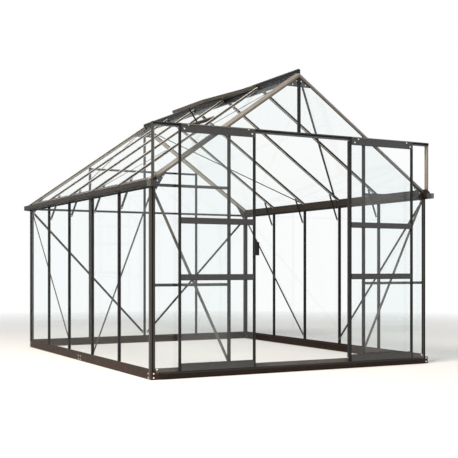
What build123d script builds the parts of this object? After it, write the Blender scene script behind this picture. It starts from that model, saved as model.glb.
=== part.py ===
from build123d import *
import os
from math import cos, radians, sin, tan

# Glass greenhouse with two sliding doors in its front gable. Sizes are in millimetres.
# X runs across the front, Y from the front gable to the rear one, Z up.

# Overall layout
BAY = 622.5                 # from one glazing bar to the next
FRONT_BAYS = 4              # panes across a gable
SIDE_BAYS = 5               # panes along a side wall
CORNER = 23.0               # outer corner to the first glazing line
PITCH = 35.0                # roof pitch in degrees
EAVE_TOP = 1462.0           # roof surface over the outer face of the side wall
WIDTH = FRONT_BAYS * BAY + 2 * CORNER
LENGTH = SIDE_BAYS * BAY + 2 * CORNER
HALF_W = WIDTH / 2
FRONT = -LENGTH / 2
REAR = LENGTH / 2

# Fits
SEAT = 0.3                  # glass and metal lie this far from their seats
PLAY = 1.0                  # room at each edge of a pane
FIT = 0.5                   # gap between rails that meet end to end

# Base frame and sills
BASE_H = 62.0
BASE_W = 30.0
BASE_T = 3.0
SILL_H = 14.0
SILL_FLOOR = 5.0            # height of the groove floor in a sill
PLATE_T = 3.0               # corner plates and gussets
PLATE_L = 46.0
COVER_D = 22.0              # channel in front of the door gable's base
COVER_END = 30.0            # length of the taller block at each of its ends
COVER_END_H = 58.0

# Glazing bar section
GLASS = 3.0
CAP_W = 22.0
CAP_T = 5.0
WEB_W = 8.0
FOOT_W = 20.0
FOOT_T = 2.5
FLUTE_W = 6.0               # groove along the middle of the cap
FLUTE_D = 2.0
BAR_D = 22.0
RAIL_W = 22.0               # crossbars between the bars

# Corner post and gable rafter sections
POST_LIP = 7.0              # the post's front face is this much wider than the eave beam
POST_SIDE = 30.0
POST_BEVEL = 10.0           # bevel down the post's outer corner
POST_GROOVE = 11.0          # width of the groove beside it
LEG = 12.0                  # thickness of the post's legs
REBATE = 6.0
VERGE = 34.0                # leg length of the gable rafter
BEVEL = 20.0                # bevel along the gable rafter's outer edge

# Eave beam with its gutter
BEAM_W = 30.0
BEAM_H = 70.5               # underside of the beam, measured down from the roof surface
GUTTER_W = 45.0
GUTTER_DROP = 22.5          # rim of the gutter, measured down the same way
GUTTER_T = 3.0
GUTTER_OVER = 45.0          # the beams run on past each gable by this much
DRIP = 8.0                  # the roof glass runs past the wall face by this much

# Ridge beam
RIDGE_UP = 22.0             # crown above the meeting line of the roof slopes
RIDGE_D = 85.0
RIDGE_HALF = 16.0

# Gable crossbars
MID_BAR_Z = 683.0
EAVE_BAR_DROP = 53.0        # eave-height crossbar, measured down from the roof surface
APEX_PLATE_H = 119.0        # apex gusset, measured down from the meeting line
EAVE_PLATE = 115.0

# Door track
TRACK_DROP = 50.5           # track below the roof surface, measured over the door posts
TRACK_H = 26.0
TRACK_D = 38.0
TRACK_T = 3.0
TRACK_LIP = 5.0
TRACK_INSET = 6.0           # ends of the track, inside the outer faces of the walls
UPRIGHT_W = 12.0
UPRIGHT_D = 34.0

# Door leaves
LEAF_LAP = 20.5             # a closed leaf laps its door post by this much
LEAF_T = 16.0               # thickness of the stiles
LEAF_RAISE = 17.0           # foot of the leaf above the threshold's shelf
HEAD_GAP = 8.0              # head of the stiles below the track
TRACK_GAP = 5.0             # between the track and the hanger plate in front of it
RAIL_PROUD = 3.0            # rails and hanger plate stand this far before the stiles
STILE_W = 17.0
MID_RAIL_H = 41.0
MID_RAILS_Z = [739.0, 1155.0]
KICK_H = 52.0
HANGER_H = 66.0
HANGER_INSET = 18.0         # the plate starts this far in from the leaf's left edge
HANGER_END = 5.0            # and stops this far from its right edge
HANGER_RAIL = 25.0
STOP = 31.0                 # a fully open leaf stops this far from the track's end
SHORT_LEFT = 172.0          # how far short of fully open the left leaf stands
SHORT_RIGHT = 140.0
MEET_GAP = 3.0              # each closed leaf stops this far from the centre line
ROLLER_L = 22.0
AXLE_R = 4.0
ROLLER_INSET = 60.0
FIN_T = 5.0
HANDLE_LOW = 903.0
HANDLE_H = 112.0
HANDLE_REACH = 20.0
HANDLE_OUT = 19.0           # the handle's edge stands this far before the stiles
HANDLE_CLEAR = 5.0
HANDLE_FALL = 13.0          # the top edge falls this much towards the handle's free edge

# Threshold with the bottom guide
SHELF_DROP = 22.0           # shelf below the top of the base
SHELF_T = 4.0
LIP_T = 3.0
LIP_H = 8.0
GUIDE_GAP = 5.0             # room each side of the leaf's fin
GUIDE_END = 60.0            # the shelf stops this far inside the outer faces of the walls
NOSE = 19.0                 # foot of the sill's sloping front, before the wall face
NOSE_DROP = 10.0            # and below the top of the base
SLOPE_RISE = 18.0           # head of the slope, above the base

# Roof window
WINDOW_BAY = 1              # bay number from the front, counted from nought
WINDOW_L = 534.0            # along the slope, from the hinge
WINDOW_OPEN = 16.8          # degrees open
WINDOW_H = 26.0
WINDOW_T = 14.0
KNUCKLE_R = 6.0
WINDOW_SILL_H = 8.0         # the sill stands this far above the roof surface

# Braces and stays
STRIP_W = 22.0
STRIP_T = 2.0
STAY_W = 18.0
STAY_DOWN = 120.0
STAY_IN = 90.0

# Values that follow from the ones above
SLOPE = radians(PITCH)
APEX = EAVE_TOP + HALF_W * tan(SLOPE)
GLASS_IN = CAP_T + SEAT                     # depth of a pane's outer face
FOOT_IN = GLASS_IN + GLASS + SEAT           # depth of the seat behind a pane
DOOR_X = FRONT_BAYS / 2 * BAY - BAY         # door posts each side of the centre line
SILL_TOP = BASE_H + SILL_H
SILL_SLOPE_TOP = BASE_H + SLOPE_RISE
BEAM_BOTTOM = EAVE_TOP - BEAM_H
POST_FRONT = BEAM_W + POST_LIP
GUTTER_TOP = EAVE_TOP - GUTTER_DROP
TRACK_TOP = APEX - DOOR_X * tan(SLOPE) - TRACK_DROP
TRACK_LOW = TRACK_TOP - TRACK_H
SHELF_Z = BASE_H - SHELF_DROP
LEAF_W = DOOR_X + LEAF_LAP - MEET_GAP
LEAF_BOTTOM = SHELF_Z + LEAF_RAISE
LEAF_TOP = TRACK_LOW - HEAD_GAP
LEAF_FRONT = TRACK_D + TRACK_GAP            # front face of the stiles, ahead of the wall face
LEAF_BACK = LEAF_FRONT - LEAF_T
ROLLER_R = (TRACK_H - 2 * TRACK_T - PLAY) / 2
HANDLE_FRONT = LEAF_FRONT + HANDLE_OUT
HANDLE_TOP = HANDLE_LOW + HANDLE_H
DOWN = Vector(-cos(SLOPE), 0, -sin(SLOPE))  # down the left slope
UNDER = Vector(sin(SLOPE), 0, -cos(SLOPE))  # square into the left slope
SHIFT = (HANDLE_FRONT - GUTTER_OVER - PLATE_T) / 2  # centres the whole part on the origin


def roof_z(x):
    """Height of the roof surface at a distance x from the centre line."""
    return APEX - abs(x) * tan(SLOPE)


def save(name, *shapes):
    """Write one node, moved so that the whole part is centred on the origin."""
    solids = []
    for shape in shapes:
        solids.extend(shape.solids())
    node = Compound(children=[Pos(0, SHIFT, 0) * solid for solid in solids])
    node.label = name
    export_step(node, f"parts/{name}.step")


def block(x0, x1, y0, y1, z0, z1):
    """A box between two corners."""
    return Pos((x0 + x1) / 2, (y0 + y1) / 2, (z0 + z1) / 2) * Box(x1 - x0, y1 - y0, z1 - z0)


def run(outline, start, end, inward):
    """Extrude an outline of (across, inward) points from start to end."""
    start = Vector(start)
    way = Vector(end) - start
    plane = Plane(origin=start, x_dir=Vector(inward).cross(way), z_dir=way)
    face = plane * make_face(Polyline(*outline, close=True))
    return extrude(face, amount=way.length, dir=way.normalized())


def strip(start, end, inward, width=STRIP_W, thick=STRIP_T):
    """A flat bar between two points, its thickness running inward."""
    half = width / 2
    return run([(-half, 0), (half, 0), (half, thick), (-half, thick)], start, end, inward)


def even(half):
    """Both halves of an outline that is the same left and right."""
    return half + [(-a, b) for a, b in reversed(half)]


def left_right(*shapes):
    """The pieces and their mirror images on the other side."""
    return list(shapes) + [mirror(shape, Plane.YZ) for shape in shapes]


def front_rear(*shapes):
    """The pieces and their mirror images at the other gable."""
    return list(shapes) + [mirror(shape, Plane.XZ) for shape in shapes]


# Sections

def bar_outline():
    """Glazing bar: fluted cap outside, glass slot, foot and bolt channel inside."""
    flute = FLUTE_W / 2
    return even([
        (flute, FLUTE_D), (flute, 0), (CAP_W / 2, 0), (CAP_W / 2, CAP_T), (WEB_W / 2, CAP_T),
        (WEB_W / 2, FOOT_IN), (FOOT_W / 2, FOOT_IN), (FOOT_W / 2, FOOT_IN + FOOT_T),
        (flute, FOOT_IN + FOOT_T), (flute, BAR_D - CAP_T), (WEB_W, BAR_D - CAP_T), (WEB_W, BAR_D),
    ])


def upper_outline():
    """The part of the glazing bar that runs on over the eave beam."""
    flute = FLUTE_W / 2
    return even([
        (flute, FLUTE_D), (flute, 0), (CAP_W / 2, 0), (CAP_W / 2, CAP_T), (WEB_W / 2, CAP_T),
        (WEB_W / 2, FOOT_IN),
    ])


def post_outline():
    """Corner post seen from above, from its outer corner."""
    groove = POST_BEVEL + FLUTE_D
    face = groove + POST_GROOVE
    return [
        (POST_BEVEL, 0), (groove, 0), (groove, LEG / 2), (face, LEG / 2), (face, 0), (POST_FRONT, 0),
        (POST_FRONT, CAP_T), (POST_FRONT - REBATE, CAP_T), (POST_FRONT - REBATE, FOOT_IN),
        (POST_FRONT, FOOT_IN), (POST_FRONT, LEG), (LEG, LEG), (LEG, POST_SIDE),
        (FOOT_IN, POST_SIDE), (FOOT_IN, POST_SIDE - REBATE), (CAP_T, POST_SIDE - REBATE),
        (CAP_T, POST_SIDE), (0, POST_SIDE), (0, POST_BEVEL),
    ]


def verge_outline():
    """Gable rafter: a bevelled edge bar with a glass rebate in each leg."""
    inner = BEVEL + LEG / 2
    rebate = CORNER + WEB_W / 2
    return [
        (BEVEL, 0), (VERGE, 0), (VERGE, CAP_T), (rebate, CAP_T), (rebate, FOOT_IN),
        (VERGE, FOOT_IN), (VERGE, LEG), (inner, LEG), (LEG, inner), (LEG, VERGE),
        (FOOT_IN, VERGE), (FOOT_IN, rebate), (CAP_T, rebate), (CAP_T, VERGE), (0, VERGE),
        (0, BEVEL),
    ]


def ridge_outline():
    """Ridge beam: rounded crown with side flutes and grooves, from the crown down."""
    low = RIDGE_D
    edge = RIDGE_HALF
    flute = 4.0
    return even([
        (edge / 2, 0), (edge, edge / 2), (edge, edge), (edge - flute, edge + 2),
        (edge - flute, edge + 8), (edge, edge + 10), (edge, edge + 16),
        (edge - flute, edge + 18), (edge - flute, low - flute), (edge, low - flute), (edge, low),
    ])


def beam_outline():
    """Eave beam and gutter, as (inward from the wall face, height)."""
    drop = (FOOT_IN) / cos(SLOPE)
    back = EAVE_TOP - drop
    inner = back + BEAM_W * tan(SLOPE)
    lip = back - GUTTER_T * tan(SLOPE)
    floor = BEAM_BOTTOM + CAP_T
    return [
        (-GUTTER_W, GUTTER_TOP), (-GUTTER_W, floor + GUTTER_T), (-GUTTER_W + GUTTER_T, floor),
        (0, floor), (0, BEAM_BOTTOM), (CAP_T, BEAM_BOTTOM), (CAP_T, BEAM_BOTTOM + REBATE),
        (FOOT_IN, BEAM_BOTTOM + REBATE), (FOOT_IN, BEAM_BOTTOM), (BEAM_W, BEAM_BOTTOM),
        (BEAM_W, inner), (-GUTTER_T, lip), (-GUTTER_T, floor + GUTTER_T),
        (-GUTTER_W + 2 * GUTTER_T, floor + GUTTER_T),
        (-GUTTER_W + GUTTER_T, floor + 2 * GUTTER_T), (-GUTTER_W + GUTTER_T, GUTTER_TOP),
    ]


def sill_outline():
    """Sill with a groove for the wall glass, as (inward, height above the base)."""
    step = LEG / 3
    return [
        (0, 0), (FOOT_W, 0), (FOOT_W, step), (LEG, step), (LEG, SILL_H), (FOOT_IN, SILL_H),
        (FOOT_IN, SILL_FLOOR), (CAP_T, SILL_FLOOR), (CAP_T, SILL_H), (0, SILL_H),
    ]


# Base and sills

def base_outline():
    """Folded steel base rail, open towards the inside."""
    return [
        (0, 0), (BASE_W, 0), (BASE_W, BASE_T), (BASE_T, BASE_T), (BASE_T, BASE_H - BASE_T),
        (BASE_W, BASE_H - BASE_T), (BASE_W, BASE_H), (0, BASE_H),
    ]


def along_y(outline, y0, y1):
    """Extrude an outline of (inward, height) points along the left wall."""
    points = [(-HALF_W + a, b) for a, b in outline]
    face = Plane(origin=(0, y0, 0), x_dir=(1, 0, 0), z_dir=(0, -1, 0)) * make_face(
        Polyline(*points, close=True))
    return extrude(face, amount=y1 - y0, dir=(0, 1, 0))


def along_x(outline, x0, x1):
    """Extrude an outline of (inward, height) points along the front gable."""
    points = [(FRONT + a, b) for a, b in outline]
    face = Plane(origin=(x0, 0, 0), x_dir=(0, 1, 0), z_dir=(1, 0, 0)) * make_face(
        Polyline(*points, close=True))
    return extrude(face, amount=x1 - x0, dir=(1, 0, 0))


def lifted(outline, z):
    """The outline, raised by z."""
    return [(a, b + z) for a, b in outline]


def base_frame():
    side = along_y(base_outline(), FRONT + POST_SIDE, REAR - POST_SIDE)
    end = along_x(base_outline(), -HALF_W + POST_FRONT, HALF_W - POST_FRONT)
    save("base_side_rails", *left_right(side))
    save("base_end_rails", *front_rear(end), front_cover())


def front_cover():
    """Channel in front of the door gable's base, below the shelf, with a taller block at each end."""
    t = BASE_T
    high = SHELF_Z - SEAT
    outline = [
        (-COVER_D, 0), (-SEAT, 0), (-SEAT, t), (-COVER_D + t, t), (-COVER_D + t, high - t),
        (-SEAT, high - t), (-SEAT, high), (-COVER_D, high),
    ]
    cover = along_x(outline, -HALF_W, HALF_W)
    end = block(-HALF_W, -HALF_W + COVER_END, FRONT - COVER_D, FRONT - SEAT, 0, COVER_END_H)
    for piece in left_right(end):
        cover += piece
    return cover


def base_joint_plates():
    """Angle plates inside the feet of the corner posts, and a splice half way along each side."""
    inner = -HALF_W + BASE_T
    low = BASE_T + SEAT
    high = BASE_H - BASE_T - SEAT
    x = -HALF_W + LEG
    y = FRONT + LEG
    x_end = -HALF_W + POST_FRONT
    y_end = FRONT + POST_SIDE
    angle = block(x, x + PLATE_T, y, y_end + PLATE_L, low, high)
    angle += block(x, x_end + PLATE_L, y, y + PLATE_T, low, high)
    angle += block(inner, x, y_end, y_end + PLATE_L, low, high)
    angle += block(x_end, x_end + PLATE_L, FRONT + BASE_T, y, low, high)
    splice = block(inner, inner + PLATE_T, -PLATE_L, PLATE_L, low, high)
    save("base_joint_plates", *front_rear(*left_right(angle)), *left_right(splice))


def sills():
    outline = lifted(sill_outline(), BASE_H)
    side = along_y(outline, FRONT + POST_SIDE, REAR - POST_SIDE)
    rear = along_x(outline, -HALF_W + POST_FRONT, HALF_W - POST_FRONT)
    save("sills", *left_right(side), mirror(rear, Plane.XZ))


def threshold():
    """Front sill in one section with the shelf that guides the foot of the doors."""
    fin = (LEAF_FRONT + LEAF_BACK) / 2
    outer = fin + FIN_T / 2 + GUIDE_GAP
    inner = fin - FIN_T / 2 - GUIDE_GAP
    top = SHELF_Z + SHELF_T
    lip = top + LIP_H
    groove = BASE_H + SILL_FLOOR
    outline = [
        (-outer - LIP_T, SHELF_Z), (-outer - LIP_T, lip), (-outer, lip), (-outer, top),
        (-inner, top), (-inner, lip), (-inner + LIP_T, lip), (-inner + LIP_T, top),
        (-NOSE, top), (-NOSE, BASE_H - NOSE_DROP), (0, SILL_SLOPE_TOP), (CAP_T, SILL_SLOPE_TOP),
        (CAP_T, groove), (FOOT_IN, groove), (FOOT_IN, SILL_SLOPE_TOP), (LEG, SILL_SLOPE_TOP),
        (LEG, BASE_H + SHELF_T), (BASE_W, BASE_H + SHELF_T), (BASE_W, BASE_H), (0, BASE_H),
        (0, SHELF_Z),
    ]
    sill = along_x(outline, -HALF_W + POST_FRONT, HALF_W - POST_FRONT)
    beyond = block(-HALF_W, -HALF_W + GUIDE_END, 2 * FRONT, FRONT - NOSE, 0, BASE_H)
    for end in left_right(beyond):
        sill -= end
    save("threshold", sill)


# Walls

def corner_posts():
    post = run(post_outline(), (-HALF_W, FRONT, 0), (-HALF_W, FRONT, BEAM_BOTTOM), (0, 1, 0))
    save("corner_posts", *front_rear(*left_right(post)))


def side_wall_bars():
    bars = []
    for i in range(1, SIDE_BAYS):
        y = FRONT + CORNER + i * BAY
        bars.append(run(bar_outline(), (-HALF_W, y, SILL_TOP), (-HALF_W, y, BEAM_BOTTOM), (1, 0, 0)))
    save("side_wall_bars", *left_right(*bars))


def gutters():
    beam = along_y(beam_outline(), FRONT - GUTTER_OVER, REAR + GUTTER_OVER)
    save("gutters", *left_right(beam))
    cap = [(-GUTTER_W, GUTTER_TOP), (-GUTTER_W, BEAM_BOTTOM + CAP_T), (0, BEAM_BOTTOM),
           (BEAM_W, BEAM_BOTTOM), (BEAM_W, GUTTER_TOP)]
    end = along_y(cap, FRONT - GUTTER_OVER - PLATE_T, FRONT - GUTTER_OVER)
    save("gutter_end_caps", *front_rear(*left_right(end)))


# Roof

def down_slope(outline, y, x_in, x_out):
    """Extrude (along Y, into the roof) points down the left slope, with plumb ends."""
    start = Vector(0, y, APEX) - DOWN * BAY
    end = Vector(0, y, APEX) + DOWN * 2 * WIDTH
    full = run(outline, start, end, UNDER)
    return full & block(-x_out, -x_in, 2 * FRONT, 2 * REAR, 0, 2 * APEX)


def rafters():
    left = []
    for i in range(1, SIDE_BAYS):
        y = FRONT + CORNER + i * BAY
        bar = down_slope(bar_outline(), y, RIDGE_HALF, HALF_W - BEAM_W)
        tail = down_slope(upper_outline(), y, RIDGE_HALF, HALF_W + DRIP)
        left.append(bar + tail)
    save("rafters", *left_right(*left))


def gable_rafters():
    rebate = CORNER + WEB_W / 2
    upper = [(BEVEL, 0), (VERGE, 0), (VERGE, CAP_T), (rebate, CAP_T), (rebate, FOOT_IN),
             (BEVEL - FOOT_IN, FOOT_IN)]
    left = down_slope(verge_outline(), FRONT, FIT / 2, HALF_W - BEAM_W)
    left += down_slope(upper, FRONT, FIT / 2, HALF_W + DRIP)
    save("gable_rafters", *front_rear(*left_right(left)))


def ridge_beam():
    points = [(a, APEX + RIDGE_UP - b) for a, b in ridge_outline()]
    start = FRONT + LEG
    face = Plane(origin=(0, start, 0), x_dir=(1, 0, 0), z_dir=(0, -1, 0)) * make_face(
        Polyline(*points, close=True))
    beam = extrude(face, amount=LENGTH - 2 * LEG, dir=(0, 1, 0))
    for rafter in front_rear(gable_notch()):
        beam -= rafter
    save("ridge_beam", beam)


def gable_notch():
    """Room for the meeting ends of a gable's rafters under the crown of the ridge."""
    rise = SEAT / cos(SLOPE)
    x = 2 * RIDGE_HALF
    roof = [(0, APEX + rise), (x, roof_z(x) + rise), (x, APEX - BAY), (-x, APEX - BAY),
            (-x, roof_z(x) + rise)]
    face = Plane(origin=(0, FRONT - PLAY, 0), x_dir=(1, 0, 0), z_dir=(0, -1, 0)) * make_face(
        Polyline(*roof, close=True))
    return extrude(face, amount=VERGE + PLAY + SEAT, dir=(0, 1, 0))


# Gables

def stud(x, z0):
    """Upright glazing bar in the front gable, from z0 to the underside of the rafter."""
    top = roof_z(abs(x) + CAP_W / 2) - VERGE / cos(SLOPE)
    bar = run(bar_outline(), (x, FRONT, z0), (x, FRONT, top), (0, 1, 0))
    if x == 0:
        slot = FRONT + LEG
        bar -= block(-CAP_W, CAP_W, slot, slot + PLATE_T + 2 * SEAT, APEX - APEX_PLATE_H - SEAT, APEX)
    return bar


def rail(x0, x1, z, inset=0):
    """Crossbar behind the glass of the front gable, its web cut back at the outer end."""
    y = FRONT + FOOT_IN
    back = FRONT + LEG
    bar = block(x0, x1, y, back, z - RAIL_W / 2, z + RAIL_W / 2)
    return bar + block(x0 + inset, x1, back, FRONT + BAR_D - SEAT, z - BASE_T, z + BASE_T)


def gable_uprights():
    save("door_posts", *left_right(stud(-DOOR_X, SILL_SLOPE_TOP)))
    save("king_post", stud(0, TRACK_TOP))
    rear = [stud(x, SILL_TOP) for x in (-DOOR_X, 0, DOOR_X)]
    save("rear_studs", *[mirror(bar, Plane.XZ) for bar in rear])


def gable_crossbars():
    outer = HALF_W - POST_FRONT - SEAT
    inner = DOOR_X + FOOT_W / 2 + SEAT
    low = rail(-outer, -inner, MID_BAR_Z)
    high = rail(-outer, -inner, EAVE_TOP - EAVE_BAR_DROP, EAVE_PLATE)
    save("front_crossbars", *left_right(low, high))
    centre = FOOT_W / 2 + SEAT
    between = rail(-DOOR_X + centre, -centre, EAVE_TOP - EAVE_BAR_DROP)
    upper = rail(-DOOR_X + centre, -centre, TRACK_TOP - RAIL_W / 2)
    save("rear_crossbars", *[mirror(bar, Plane.XZ) for bar in left_right(high, between, upper)])


def door_header():
    """Bar over the doorway, between the heads of the door posts."""
    half = DOOR_X - CAP_W / 2 - SEAT
    save("door_header", block(-half, half, FRONT, FRONT + LEG, TRACK_LOW, TRACK_TOP))


def gable_gussets():
    """Plates behind the glass that tie the rafters together and to the corner posts."""
    y = FRONT + LEG + SEAT
    rise = (BEVEL + LEG / 2) / cos(SLOPE)
    low = APEX - APEX_PLATE_H
    half = (APEX - rise - low) / tan(SLOPE)
    apex = [(0, APEX - rise), (half, low), (-half, low)]
    x = HALF_W - BEAM_W - SEAT
    top = roof_z(x) - rise
    eave = [(-x, top), (-x, top - EAVE_PLATE), (-x + EAVE_PLATE, roof_z(x - EAVE_PLATE) - rise)]
    plates = []
    for points in (apex, eave):
        face = Plane(origin=(0, y, 0), x_dir=(1, 0, 0), z_dir=(0, -1, 0)) * make_face(
            Polyline(*points, close=True))
        plates.append(extrude(face, amount=PLATE_T, dir=(0, 1, 0)))
    save("gable_gussets", *front_rear(plates[0], *left_right(plates[1])))


# Braces and stays

def wall_braces():
    """Flat strips that cross the bays behind the bars."""
    y = FRONT + BAR_D
    x = HALF_W - LEG - STRIP_W
    top = BEAM_BOTTOM - STRIP_W
    front = strip((-x, y, top), (-DOOR_X, y, BASE_H + PLATE_L), (0, 1, 0))
    rear = strip((-x, -y, top), (-STRIP_W, -y, BASE_H + PLATE_L), (0, -1, 0))
    wall = -HALF_W + BAR_D
    foot = FRONT + CORNER + 2 * BAY
    side = strip((wall, FRONT + POST_SIDE, top), (wall, foot, BASE_H + PLATE_L), (1, 0, 0))
    save("wall_braces", *left_right(front, rear, *front_rear(side)))


def roof_braces():
    """Flat strips under the rafters, from the gable apexes to the eaves."""
    foot = FRONT + CORNER + 2 * BAY
    crest = RIDGE_HALF + STRIP_W
    top = Vector(-crest, FRONT + VERGE, roof_z(crest)) + UNDER * BAR_D
    x = HALF_W - BEAM_W - STRIP_W
    low = Vector(-x, foot, roof_z(x)) + UNDER * BAR_D
    save("roof_braces", *front_rear(*left_right(strip(tuple(top), tuple(low), tuple(UNDER)))))


def knee_stays():
    """Short struts between the wall bars and the rafters."""
    stays = []
    for i in range(1, SIDE_BAYS):
        y = FRONT + CORNER + i * BAY + WEB_W + SEAT
        x = HALF_W - BEAM_W
        low = (-x, y, BEAM_BOTTOM - STAY_DOWN)
        high = (-x + STAY_IN, y, roof_z(x - STAY_IN) - BAR_D / cos(SLOPE))
        stays.append(strip(low, high, (0, 1, 0), STAY_W))
    save("knee_stays", *left_right(*stays))


# Door track

def door_track():
    """Channel, open to the front, that the door rollers run in."""
    t = TRACK_T
    low = TRACK_LOW
    slot = TRACK_LOW + t + TRACK_LIP
    outline = [
        (0, low), (0, TRACK_TOP), (-TRACK_D, TRACK_TOP), (-TRACK_D, TRACK_TOP - t - TRACK_LIP),
        (-TRACK_D + t, TRACK_TOP - t - TRACK_LIP), (-TRACK_D + t, TRACK_TOP - t),
        (-t, TRACK_TOP - t), (-t, low + t), (-TRACK_D + t, low + t), (-TRACK_D + t, slot),
        (-TRACK_D, slot), (-TRACK_D, low),
    ]
    end = HALF_W - TRACK_INSET
    save("door_track", along_x(outline, -end, end))
    x = end - UPRIGHT_W
    foot = FOOT_IN / cos(SLOPE) - SEAT
    points = [(-end, roof_z(end) - foot), (-x, roof_z(x) - foot), (-x, low), (-end, low)]
    face = Plane(origin=(0, FRONT - TRACK_D + t, 0), x_dir=(1, 0, 0), z_dir=(0, -1, 0)) * make_face(
        Polyline(*points, close=True))
    post = extrude(face, amount=UPRIGHT_D, dir=(0, 1, 0))
    save("track_uprights", *left_right(post))


# Roof window

def window():
    """Hinged pane in the left slope, held open by its stay."""
    y0 = FRONT + CORNER + WINDOW_BAY * BAY
    a0 = CAP_W / 2 + PLAY
    a1 = BAY - CAP_W / 2 - PLAY
    tilt = radians(PITCH - WINDOW_OPEN)
    way = Vector(-cos(tilt), 0, -sin(tilt))
    under = Vector(sin(tilt), 0, -cos(tilt))
    hinge = Vector(-RIDGE_HALF - KNUCKLE_R, y0, APEX + KNUCKLE_R)
    frame = run([(a0, 0), (a1, 0), (a1, WINDOW_H), (a0, WINDOW_H)],
                tuple(hinge), tuple(hinge + way * WINDOW_L), tuple(under))
    hole = run([(a0 + WINDOW_T, -PLAY), (a1 - WINDOW_T, -PLAY), (a1 - WINDOW_T, WINDOW_H + PLAY),
                (a0 + WINDOW_T, WINDOW_H + PLAY)], tuple(hinge + way * WINDOW_T),
               tuple(hinge + way * (WINDOW_L - WINDOW_T)), tuple(under))
    slot = run([(a0 + REBATE, CAP_T), (a1 - REBATE, CAP_T), (a1 - REBATE, FOOT_IN),
                (a0 + REBATE, FOOT_IN)], tuple(hinge + way * REBATE),
               tuple(hinge + way * (WINDOW_L - REBATE)), tuple(under))
    pane = run([(a0 + REBATE + PLAY, GLASS_IN), (a1 - REBATE - PLAY, GLASS_IN),
                (a1 - REBATE - PLAY, GLASS_IN + GLASS), (a0 + REBATE + PLAY, GLASS_IN + GLASS)],
               tuple(hinge + way * (REBATE + PLAY)),
               tuple(hinge + way * (WINDOW_L - REBATE - PLAY)), tuple(under))
    save("roof_window_frame", frame - hole - slot)
    save("roof_window_glass", pane)
    window_sill(y0)
    middle = y0 + BAY / 2
    free = hinge + way * (WINDOW_L - WINDOW_T) + under * (WINDOW_H + SEAT)
    rest = Vector(0, 0, APEX) + DOWN * (WINDOW_L - WINDOW_T) - UNDER * (WINDOW_SILL_H + SEAT)
    save("roof_window_stay", strip((free.X, middle, free.Z), (rest.X, middle, rest.Z), (0, 1, 0),
                                   WINDOW_T, PLATE_T))


def window_sill(y0):
    """Bar across the roof opening that carries the lower pane and the window's foot."""
    sill = Vector(0, 0, APEX) + DOWN * (WINDOW_L - PLAY)
    foot = [(-LEG, FOOT_IN), (2 * LEG, FOOT_IN), (2 * LEG, LEG), (-LEG, LEG)]
    upstand = [(PLATE_T, -WINDOW_SILL_H), (2 * LEG, -WINDOW_SILL_H), (2 * LEG, FOOT_IN),
               (PLATE_T, FOOT_IN)]
    edge = FOOT_W / 2 + SEAT
    bar = run(foot, (sill.X, y0 + edge, sill.Z), (sill.X, y0 + BAY - edge, sill.Z), UNDER)
    edge = CAP_W / 2 + SEAT
    bar += run(upstand, (sill.X, y0 + edge, sill.Z), (sill.X, y0 + BAY - edge, sill.Z), UNDER)
    save("roof_window_sill", bar)


# Glass

def side_glass():
    low = BASE_H + SILL_FLOOR + SEAT
    high = BEAM_BOTTOM + REBATE - PLAY
    x = -HALF_W + GLASS_IN
    panes = []
    for i in range(SIDE_BAYS):
        y0 = FRONT + CORNER + i * BAY + WEB_W / 2 + PLAY
        y1 = FRONT + CORNER + (i + 1) * BAY - WEB_W / 2 - PLAY
        if i == 0:
            y0 = FRONT + POST_SIDE - REBATE + PLAY
        if i == SIDE_BAYS - 1:
            y1 = REAR - POST_SIDE + REBATE - PLAY
        panes.append(block(x, x + GLASS, y0, y1, low, high))
    save("left_wall_glass", *panes)
    save("right_wall_glass", *[mirror(pane, Plane.YZ) for pane in panes])


def gable_pane(x0, x1, z0):
    """Pane from z0 up to the rebate of the left rafter of the front gable."""
    rebate = (CORNER + WEB_W / 2 + PLAY) / cos(SLOPE)
    y = FRONT + GLASS_IN
    points = [(x0, z0), (x1, z0), (x1, roof_z(x1) - rebate), (x0, roof_z(x0) - rebate)]
    face = Plane(origin=(0, y, 0), x_dir=(1, 0, 0), z_dir=(0, -1, 0)) * make_face(
        Polyline(*points, close=True))
    return extrude(face, amount=GLASS, dir=(0, 1, 0))


def gable_glass():
    edge = WEB_W / 2 + PLAY
    outer = -HALF_W + POST_FRONT - REBATE + PLAY
    door = -DOOR_X - edge
    low = BASE_H + SILL_FLOOR + SEAT
    side = gable_pane(outer, door, low)
    side -= block(-HALF_W, -HALF_W + BEAM_W + PLAY, 2 * FRONT, 0, BEAM_BOTTOM - PLAY, APEX)
    over = gable_pane(-DOOR_X + edge, -edge, TRACK_TOP + PLAY)
    save("front_glass", *left_right(side, over))
    middle = gable_pane(-DOOR_X + edge, -edge, low)
    save("rear_glass", *[mirror(pane, Plane.XZ) for pane in left_right(side, middle)])


def roof_glass():
    left = []
    right = []
    for i in range(SIDE_BAYS):
        a0 = WEB_W / 2 + PLAY
        a1 = BAY - WEB_W / 2 - PLAY
        y = FRONT + CORNER + i * BAY
        outline = [(a0, GLASS_IN), (a1, GLASS_IN), (a1, GLASS_IN + GLASS), (a0, GLASS_IN + GLASS)]
        full = down_slope(outline, y, RIDGE_HALF, HALF_W + DRIP)
        right.append(mirror(full, Plane.YZ))
        if i == WINDOW_BAY:
            full = down_slope(outline, y, WINDOW_L * cos(SLOPE), HALF_W + DRIP)
        left.append(full)
    save("left_roof_glass", *left)
    save("right_roof_glass", *right)


# Doors, modelled for the left leaf from its inner edge at x = 0

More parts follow.
